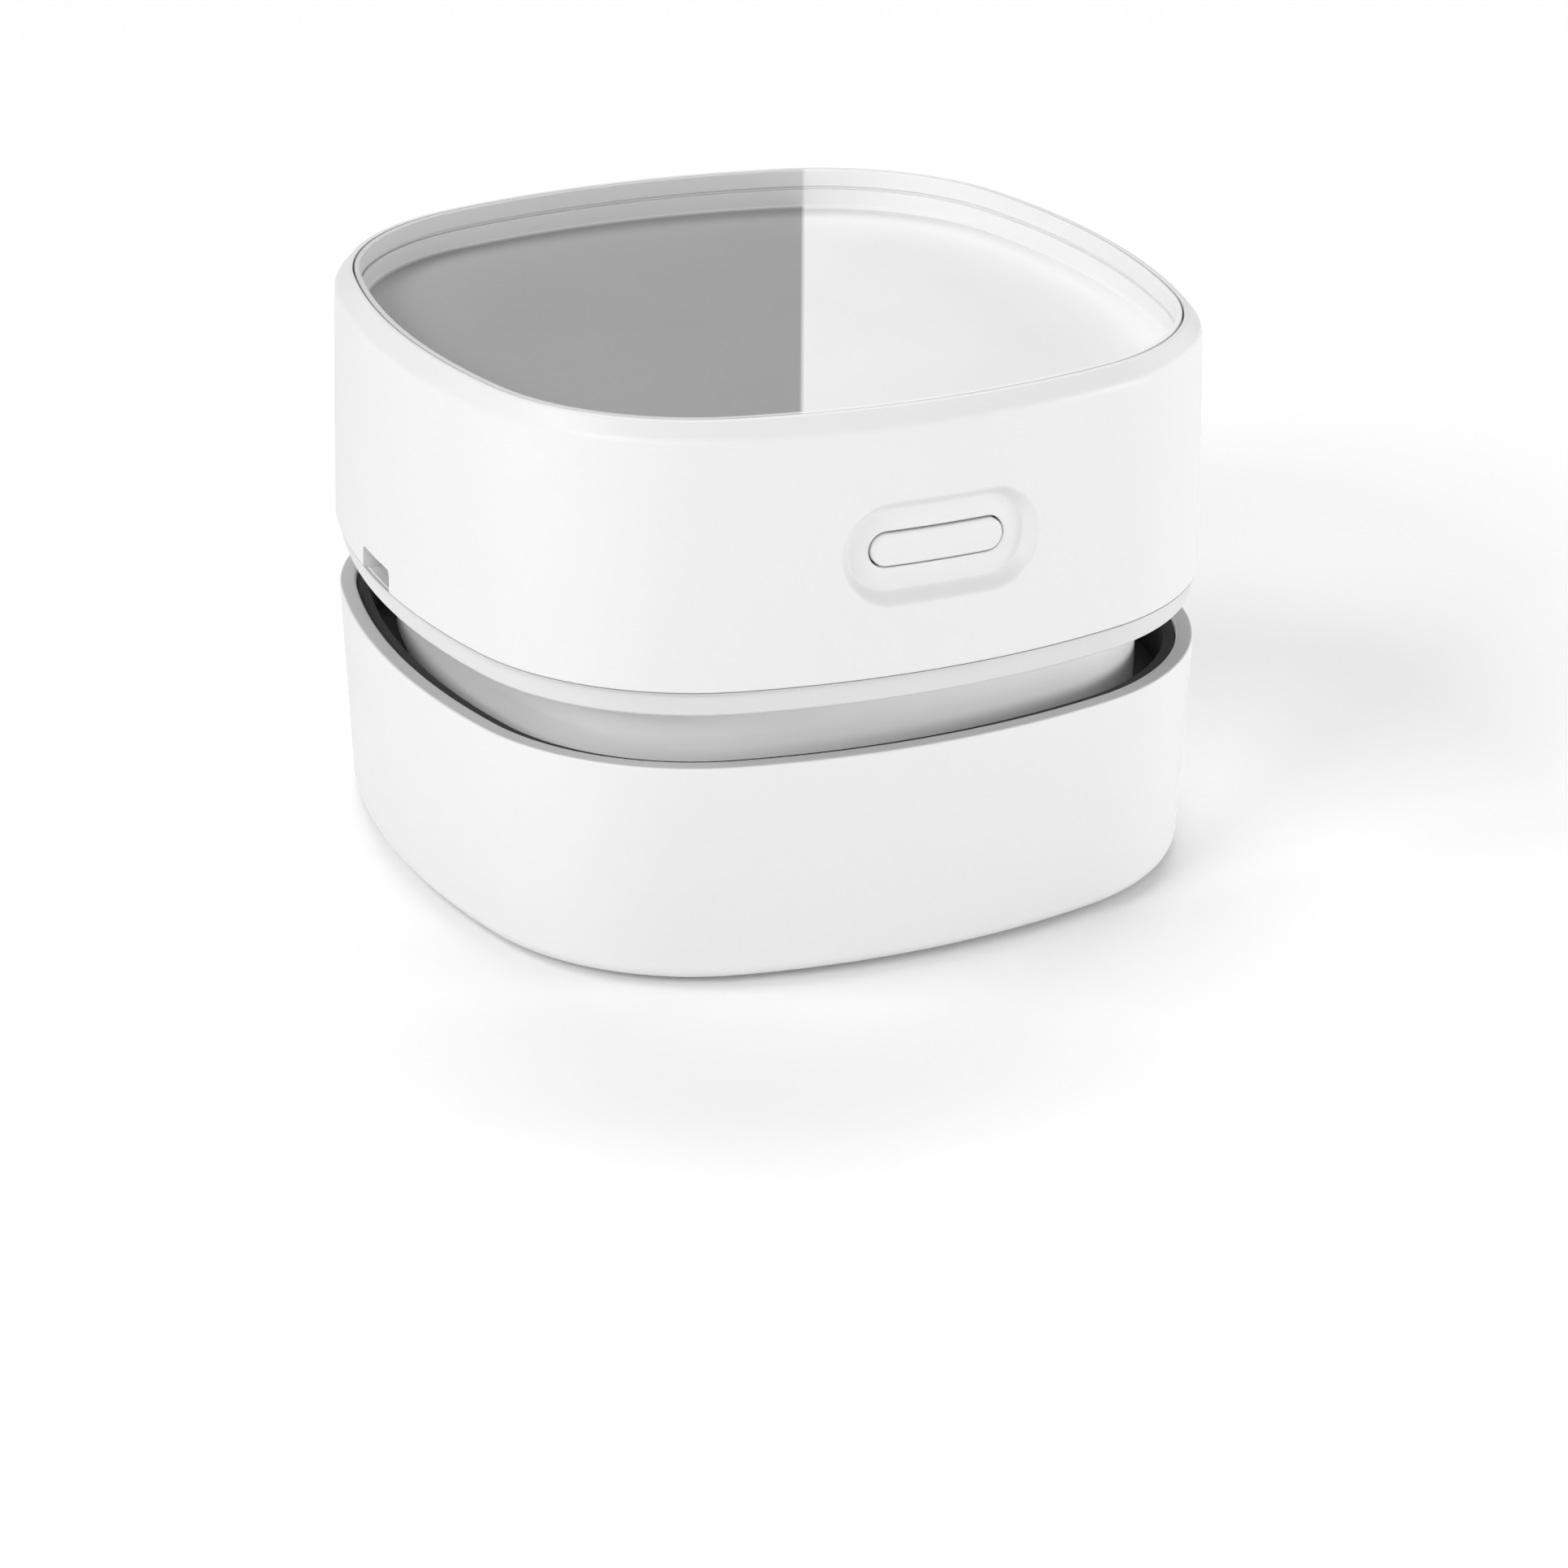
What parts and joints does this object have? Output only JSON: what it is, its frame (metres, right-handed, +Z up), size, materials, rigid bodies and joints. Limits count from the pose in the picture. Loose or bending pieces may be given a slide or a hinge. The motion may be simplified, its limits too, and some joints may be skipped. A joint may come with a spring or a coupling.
{
  "type": "desktop mini vacuum cleaner",
  "caption": "Soft-square desktop crumb vacuum: head with a shallow tray on top and an oval side button, on a lift-off dust-box base with a brushed slot below",
  "frame": {"origin": "on the desk, under the middle of the base", "axes": "+Z up; the button is on the -Y side; the charging port is on the -X side"},
  "size_m": [0.0876, 0.0876, 0.061],
  "materials": {
    "shell_white": "satin moulded ABS",
    "neck_white": "fine matt moulded ABS",
    "tray_white": "fine matt moulded ABS, grey on the -X part and white on the rest",
    "button_white": "satin moulded ABS",
    "cup_charcoal": "matt moulded ABS",
    "inner_black": "matt moulded ABS",
    "filter_grey": "matt moulded ABS",
    "filter_fleece": "melt-blown filter fleece",
    "filter_net": "woven nylon net",
    "pull_tab": "woven nylon tape",
    "seal_rubber": "moulded silicone",
    "foot_rubber": "moulded silicone",
    "bristle_nylon": "cut nylon filament",
    "brush_base": "moulded nylon",
    "screw_steel": "zinc-plated steel",
    "fan_nylon": "moulded nylon",
    "motor_steel": "drawn zinc-plated steel",
    "rotor_steel": "steel laminations with copper windings",
    "bushing_brass": "sintered bronze",
    "magnet_ferrite": "sintered ferrite",
    "end_cap_nylon": "moulded nylon",
    "terminal_brass": "stamped, tin-plated",
    "damper_rubber": "moulded rubber sleeve",
    "switch_black": "moulded nylon",
    "board_green": "glass-fibre laminate with solder mask",
    "chip_black": "moulded epoxy",
    "port_steel": "nickel-plated steel",
    "cell_sleeve": "heat-shrunk sleeve over a can",
    "contact_nickel": "spot-welded nickel strip",
    "lead_red": "extruded PVC over copper strands",
    "lead_black": "extruded PVC over copper strands"
  },
  "bodies": {
    "base": {"lower_shell": "shell_white", "dust_cup": "cup_charcoal", "intake_chimney": "cup_charcoal", "base_plate": "neck_white", "brush_holder_front": "brush_base", "brush_holder_rear": "brush_base", "bristles_front": "bristle_nylon", "bristles_rear": "bristle_nylon", "foot_pads": "foot_rubber", "base_screws": "screw_steel"},
    "filter": {"filter_frame": "filter_grey", "filter_mesh": "filter_net", "filter_pad": "filter_fleece", "filter_tab": "pull_tab"},
    "head": {"neck": "neck_white", "vent_screen": "filter_net", "seal_ring": "seal_rubber", "fan_cover": "inner_black", "motor_can": "motor_steel", "motor_bushing": "bushing_brass", "motor_magnets": "magnet_ferrite", "motor_end_cap": "end_cap_nylon", "motor_terminals": "terminal_brass", "motor_mount": "inner_black", "motor_damper": "damper_rubber", "motor_screws": "screw_steel", "mount_screws": "screw_steel", "deck": "shell_white", "upper_shell": "shell_white", "top_tray": "tray_white", "head_screws": "screw_steel", "power_switch": "switch_black", "control_board": "board_green", "board_chips": "chip_black", "charge_board": "board_green", "charge_port": "port_steel", "port_tongue": "switch_black", "battery_cell": "cell_sleeve", "battery_cradle": "inner_black", "battery_contacts": "contact_nickel", "battery_lead_red": "lead_red", "battery_lead_black": "lead_black", "motor_lead_red": "lead_red", "motor_lead_black": "lead_black", "charge_lead_red": "lead_red", "charge_lead_black": "lead_black"},
    "rotor": {"fan_wheel": "fan_nylon", "motor_shaft": "motor_steel", "motor_rotor": "rotor_steel"},
    "button": {"power_button": "button_white", "switch_plunger": "switch_black"}
  },
  "joints": [
    {"name": "head_lift", "type": "slide", "parent": "base", "child": "head", "axis": [0, 0, 1], "range_m": [0, 0.06]},
    {"name": "filter_lift", "type": "slide", "parent": "base", "child": "filter", "axis": [0, 0, 1], "range_m": [0, 0.03]},
    {"name": "fan_spin", "type": "hinge", "parent": "head", "child": "rotor", "pos_m": [0, 0, 0.025], "axis": [0, 0, 1], "continuous": true},
    {"name": "button_press", "type": "slide", "parent": "head", "child": "button", "axis": [0, 1, 0], "range_m": [0, 0.0008], "stiffness_N_per_m": 1200, "springref_m": -0.0004}
  ],
  "couplings": [
    {"joint": "filter_lift", "follows": "head_lift", "ratio": 0.5}
  ]
}
